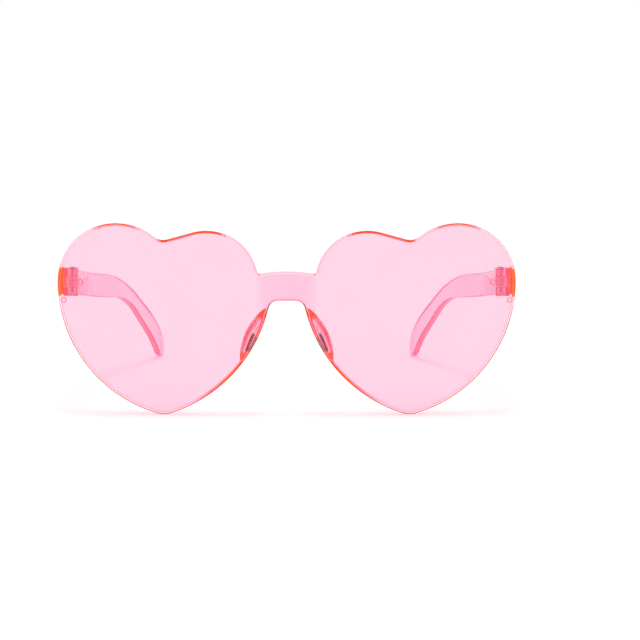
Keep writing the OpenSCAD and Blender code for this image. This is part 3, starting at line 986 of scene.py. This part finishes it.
# Nose pads: a crescent with a crown, whose ends and nose side glow. Its strokes paint light and shade
# inside it: glowing streaks, dark streaks of painted shade and a white painted highlight. Each stroke is
# (glow, tone, span across from the nose edge, span from the top end down), and a span is (from, to, soft)
# in shares of the pad's width or length
EVERYWHERE = (-1.0, 2.0, 0.01)
PAD_STROKES = (
    (0.98, FLAME, (0.71, 0.85, 0.02), EVERYWHERE),
    (0.8, FLAME, (0.52, 0.6, 0.02), (-1.0, 0.4, 0.05)),
    (1.0, SHADE_DARK, (0.28, 0.5, 0.03), (0.49, 0.83, 0.03)),
    (0.8, SHADE_BROWN, (0.3, 0.38, 0.02), (0.33, 0.45, 0.03)),
    (0.85, HIGHLIGHT_WHITE, (0.52, 0.57, 0.015), (0.4, 0.8, 0.05)),
    (0.7, RED_PINK, (0.63, 0.69, 0.02), EVERYWHERE),
    (0.5, PALE_PINK, (0.88, 2.0, 0.02), EVERYWHERE),
)
PAD_GROUND = (0.15, PALE_PINK)

# The pad's glowing ends and nose edge over the same shares, and the nose edge's tones above and below the
# place where it darkens with painted shade
PAD_TOP_END = (0.14, 0.22)
PAD_TOP_SLANT = 0.1
PAD_LOW_END = (0.82, 0.87)
PAD_EDGE_GLOW = 0.95
PAD_EDGE = (0.0, 0.05)
PAD_EDGE_TONES = (RED_PINK, 0.06)
PAD_EDGE_DARKENS = (0.5, 0.62)


def pad_look(u, t):
    """Glow and tone at u from the nose edge across and t from the top end down, in shares of the pad's
    width and length: those of the strongest part there."""
    top_from, top_to = PAD_TOP_END
    ends = max(1 - smooth(top_from, top_to + PAD_TOP_SLANT * u, t), smooth(*PAD_LOW_END, t))
    pink, dark = PAD_EDGE_TONES
    edge_tone = pink + (dark - pink) * smooth(*PAD_EDGE_DARKENS, t)
    parts = [(glow * band(*across, u) * band(*down, t), tone) for glow, tone, across, down in PAD_STROKES]
    parts += [(ends, FLAME), (PAD_EDGE_GLOW * (1 - smooth(*PAD_EDGE, u)), edge_tone), PAD_GROUND]
    return max(parts)


def pad_plan(node, sign):
    """A pad seen from behind: its middle, its direction down and its direction away from the nose, how far
    away its nose edge and its outer edge are on the way down, and where its two ends are."""
    edge = [(Vector((p.x, p.z)), Vector((q.x, q.z))) for p, q in rim_sides(node, 1, -1)]
    sides = [(p, q) for p, q in edge if abs(p.x - q.x) > SAME_POINT]
    weight = sum((q - p).length for p, q in sides)
    centre = sum(((p + q) / 2 * (q - p).length for p, q in sides), Vector((0, 0))) / weight
    spans = [((p + q) / 2 - centre, (q - p).length) for p, q in sides]
    xx, zz, xz = (sum(m[i] * m[j] * length for m, length in spans) for i, j in ((0, 0), (1, 1), (0, 1)))
    turn = 0.5 * math.atan2(2 * xz, xx - zz)
    down = Vector((math.cos(turn), math.sin(turn)))
    down = down if down.y < 0 else -down
    away = Vector((-down.y, down.x))
    away = away if away.x * sign > 0 else -away

    def edge_line(way):
        """How far away the edge that looks towards way times the away direction is, on the way down."""
        ends = [end for p, q in sides for end in (p, q) if outward(p, q).dot(away) * way > MOSTLY_NORMAL]
        return along([((end - centre).dot(down), (end - centre).dot(away)) for end in ends], 0, 1)
    places = [(p - centre).dot(down) for p, _ in sides]
    return centre, down, away, edge_line(-1), edge_line(1), min(places), max(places)


def nose_pad(side, sign):
    """One crescent pad on the back of its lens."""
    node = side + "_nose_pad"
    centre, down, away, nose, outer, s0, s1 = pad_plan(node, sign)
    crown = PAD_H - PAD_END_H
    ridge_r = (((s1 - s0) / 2) ** 2 + crown ** 2) / (2 * crown)
    mid = (s0 + s1) / 2
    v_mid = (nose(mid) + outer(mid)) / 2
    bm = bmesh.new()
    glow, tone = (bm.loops.layers.float.new(name) for name in ("glow", "tone"))
    rows = []
    looks = {}
    for i in range(PAD_STATIONS + 1):
        t = (1 - math.cos(math.pi * i / PAD_STATIONS)) / 2
        s = s0 + (s1 - s0) * t
        ridge = PAD_H - ridge_r + math.sqrt(ridge_r ** 2 - (s - mid) ** 2)
        row = []
        for j in range(PAD_ACROSS + 1):
            u = j / PAD_ACROSS
            v = nose(s) + (outer(s) - nose(s)) * u
            aside = min(abs(v - v_mid), PAD_ROUND_R)
            across = PAD_H - PAD_ROUND_R + math.sqrt(PAD_ROUND_R ** 2 - aside ** 2)
            height = min(ridge, across) * (1 - abs(2 * u - 1) ** PAD_SQUARENESS) ** (1 / PAD_SQUARENESS)
            spot = centre + down * s + away * v
            vert = bm.verts.new((spot.x, on_lens(spot.x) + height, spot.y))
            looks[vert] = pad_look(u, t)
            row.append(vert)
        rows.append(row)
    for near, far in zip(rows, rows[1:]):
        for j in range(PAD_ACROSS):
            face = bm.faces.new((near[j], near[j + 1], far[j + 1], far[j]))
            for corner in face.loops:
                corner[glow], corner[tone] = looks[corner.vert]
        bm.faces.new((near[0], far[0], far[-1], near[-1]))
    bm.faces.new(rows[0])
    bm.faces.new(rows[-1])
    piece = object_of(closed(bm), side + "_crescent_pad")
    return shown(piece, "front", node, moulded_plastic)


# Screws: a slotted domed head, a plain shoulder and a real thread
# How bright the shank is in the thread's roots, where it is painted darker than on the crests, as shade
SHANK_BRIGHT = 0.85

# The box that cuts the slot: its reach in head radiuses, slot widths and slot depths, and which corners
# its faces have
SLOT_BOX_SHARES = ((-2, 2), (-0.5, 0.5), (-1, 1))
SLOT_BOX_FACES = ((0, 1, 3, 2), (4, 6, 7, 5), (0, 4, 5, 1), (2, 3, 7, 6), (0, 2, 6, 4), (1, 5, 7, 3))


def ring_row(bm, axis, radius_at, z):
    """A ring of points round an upright axis, with radius_at(i) as the radius of the point i."""
    row = []
    for i in range(SCREW_AROUND):
        angle = 2 * math.pi * i / SCREW_AROUND
        r = radius_at(i)
        row.append(bm.verts.new((axis.x + r * math.cos(angle), axis.y + r * math.sin(angle), z)))
    return row


def shank_rows(bm, axis, low_z, head_low):
    """Rings up to the head: the point, the thread, which starts and ends softly, and the shoulder."""
    rings = [(share, low_z + up, 0.0) for share, up in POINT_RINGS]
    count = int(THREAD_LEN / THREAD_PITCH * THREAD_STEPS)
    for k in range(count + 1):
        depth = min(1.0, k / THREAD_STEPS, (count - k) / THREAD_STEPS)
        rings.append((1.0, low_z + POINT_LEN + THREAD_LEN * k / count, depth))
    crest = SCREW_CREST_R / SCREW_CORE_R
    rings += [(crest, rings[-1][1] + SHOULDER_RISE, 0.0), (crest, head_low - HEAD_GAP, 0.0)]
    rows = []
    for share, z, depth in rings:
        def radius_at(i):
            phase = (z / THREAD_PITCH - i / SCREW_AROUND) % 1.0
            return SCREW_CORE_R * share + (SCREW_CREST_R - SCREW_CORE_R) * depth * (1 - abs(2 * phase - 1))
        rows.append(ring_row(bm, axis, radius_at, z))
    return rows


def head_rows(bm, axis, head_r, head_low):
    """Rings of the head: its rounded lower edge, its rim and its dome."""
    rim_top = head_low + HEAD_RIM_H
    profile = [(head_r - HEAD_EDGE, head_low), (head_r, head_low + HEAD_EDGE), (head_r, rim_top)]
    for k in range(1, DOME_STEPS):
        angle = math.pi / 2 * k / DOME_STEPS
        up = (HEAD_H - HEAD_RIM_H) * math.sin(angle)
        profile.append((head_r * math.cos(angle), rim_top + up))
    return [ring_row(bm, axis, lambda i: r, z) for r, z in profile]


def slot_cutter(name, axis, head_r, top_z):
    """A box as wide as the driver's slot, across the head's top."""
    bm = bmesh.new()
    verts = []
    for x, y, z in product(*SLOT_BOX_SHARES):
        verts.append(bm.verts.new((axis.x + x * head_r, axis.y + y * SLOT_W, top_z + z * SLOT_DEPTH)))
    for face in SLOT_BOX_FACES:
        bm.faces.new([verts[i] for i in face])
    return object_of(closed(bm), name)


def cut_away(piece, cutter):
    """Cuts the cutter's space out of the piece for good, and removes the cutter."""
    cutting = piece.modifiers.new("driver_slot", "BOOLEAN")
    cutting.operation = "DIFFERENCE"
    cutting.solver = "EXACT"
    cutting.object = cutter
    bpy.context.view_layer.update()
    done = bpy.data.meshes.new_from_object(piece.evaluated_get(bpy.context.evaluated_depsgraph_get()))
    piece.modifiers.clear()
    piece.data = done
    bpy.data.objects.remove(cutter)


def screw(side, sign):
    """One screw, with a dark head and neck and a polished shank whose thread's roots hold painted shade."""
    node = side + "_hinge_screw"
    low, high = corners_of(node)
    axis = screw_axis(side)
    axis.x *= sign
    head_r = (high.x - low.x) / 2
    head_low = high.z - HEAD_H
    bm = bmesh.new()
    rows = shank_rows(bm, axis, low.z, head_low) + head_rows(bm, axis, head_r, head_low)
    for _ in stitched(bm, rows):
        pass
    bm.faces.new(rows[0])
    bm.faces.new(rows[-1])
    closed(bm)
    bright = bm.faces.layers.float.new("bright")
    for face in bm.faces:
        place = face.calc_center_median()
        # The crests are fully bright and the thread's roots are painted darker, as shade
        on_crest = smooth(SCREW_CORE_R, SCREW_CREST_R, (place.xy - axis).length)
        bright_with_root_shade = SHANK_BRIGHT + (1 - SHANK_BRIGHT) * on_crest
        face[bright] = bright_with_root_shade if place.z < head_low - NECK_H else 0.0
    piece = object_of(bm, side + "_slotted_screw")
    cut_away(piece, slot_cutter(side + "_slot_box", axis, head_r, high.z))
    return shown(piece, "front", node, screw_metal)


front_sheet()
for side, sign in SIDES:
    temple_blade(side, sign)
    ears(side, sign)
    tongue(side, sign)
    nose_pad(side, sign)
    screw(side, sign)


# Floor, lamps and camera
FLOOR_SIZE = 6.0
FLOOR_LIFT = 0.2
CAMERA_LIFT = 0.08
SKY_LEVEL = 0.55
SUN_LEVEL = 0.45
SUN_ANGLE = 20
BOUNCES = 32
VIEW_LENS = 99.29
VIEW_SENSOR = 36
VIEW_SHIFT = 0.052
VIEW_CLIP = 0.01
VIEW_TARGET = (0, -67.4 * MM, 29.4 * MM)
VIEW_DISTANCE = 567 * MM
VIEW_TILT = math.radians(6.12)


def seen(tree):
    """1 for rays from the camera, mirrors and clear plastic, which see a white studio, and 0 for others."""
    path = tree.nodes.new("ShaderNodeLightPath")
    mirrored = maths(tree, "MAXIMUM", path.outputs["Is Glossy Ray"], path.outputs["Is Transmission Ray"])
    return maths(tree, "MAXIMUM", path.outputs["Is Camera Ray"], mirrored)


def floor():
    """Pale paper that keeps the shadow and looks white where it is lit."""
    s = FLOOR_SIZE
    mesh = bpy.data.meshes.new("floor")
    mesh.from_pydata([(-s, -s, 0), (s, -s, 0), (s, s, 0), (-s, s, 0)], [], [(0, 1, 2, 3)])
    piece = bpy.data.objects.new("floor", mesh)
    bpy.context.scene.collection.objects.link(piece)
    material = bpy.data.materials.new("floor_paper")
    tree = nodes_of(material)
    new, link = tree.nodes.new, tree.links.new
    paper = new("ShaderNodeBsdfDiffuse")
    link(ramp(tree, noise_in(tree, PAPER_SCALE), PAPER_TINTS), paper.inputs["Color"])
    lift = new("ShaderNodeEmission")
    lift.inputs["Color"].default_value = (1, 1, 1, 1)
    path = new("ShaderNodeLightPath")
    for_camera = maths(tree, "MULTIPLY", path.outputs["Is Camera Ray"], CAMERA_LIFT)
    for_seen = maths(tree, "MULTIPLY", seen(tree), FLOOR_LIFT)
    link(maths(tree, "ADD", for_seen, for_camera), lift.inputs["Strength"])
    both = new("ShaderNodeAddShader")
    link(paper.outputs[0], both.inputs[0])
    link(lift.outputs[0], both.inputs[1])
    out = new("ShaderNodeOutputMaterial")
    link(both.outputs[0], out.inputs["Surface"])
    mesh.materials.append(material)


def studio():
    """A white sky that lights less than it shows, and one wide soft lamp overhead."""
    world = bpy.data.worlds.new("studio")
    bpy.context.scene.world = world
    world.use_nodes = True
    tree = world.node_tree
    tree.nodes.clear()
    out = tree.nodes.new("ShaderNodeOutputWorld")
    sky = tree.nodes.new("ShaderNodeBackground")
    sky.inputs["Color"].default_value = (1, 1, 1, 1)
    tree.links.new(spread(tree, seen(tree), SKY_LEVEL, 1.0), sky.inputs["Strength"])
    tree.links.new(sky.outputs[0], out.inputs["Surface"])
    lamp = bpy.data.lights.new("overhead", "SUN")
    lamp.angle = math.radians(SUN_ANGLE)
    lamp.energy = SUN_LEVEL * math.pi
    holder = bpy.data.objects.new("overhead", lamp)
    bpy.context.scene.collection.objects.link(holder)


def camera():
    """Looks at the front from a little above, with the frame shifted sideways, as the photograph does."""
    lens = bpy.data.cameras.new("view")
    lens.lens = VIEW_LENS
    lens.sensor_width = VIEW_SENSOR
    lens.shift_x = VIEW_SHIFT
    lens.clip_start = VIEW_CLIP
    holder = bpy.data.objects.new("view", lens)
    away = Vector((0, -math.cos(VIEW_TILT), math.sin(VIEW_TILT)))
    holder.location = Vector(VIEW_TARGET) + VIEW_DISTANCE * away
    holder.rotation_euler = (math.pi / 2 - VIEW_TILT, 0, 0)
    bpy.context.scene.collection.objects.link(holder)
    bpy.context.scene.camera = holder


floor()
studio()
camera()
bpy.context.scene.view_settings.view_transform = "Standard"
bpy.context.scene.cycles.max_bounces = BOUNCES
bpy.context.scene.cycles.glossy_bounces = BOUNCES
bpy.context.scene.cycles.transmission_bounces = BOUNCES
bpy.context.scene.cycles.transparent_max_bounces = BOUNCES
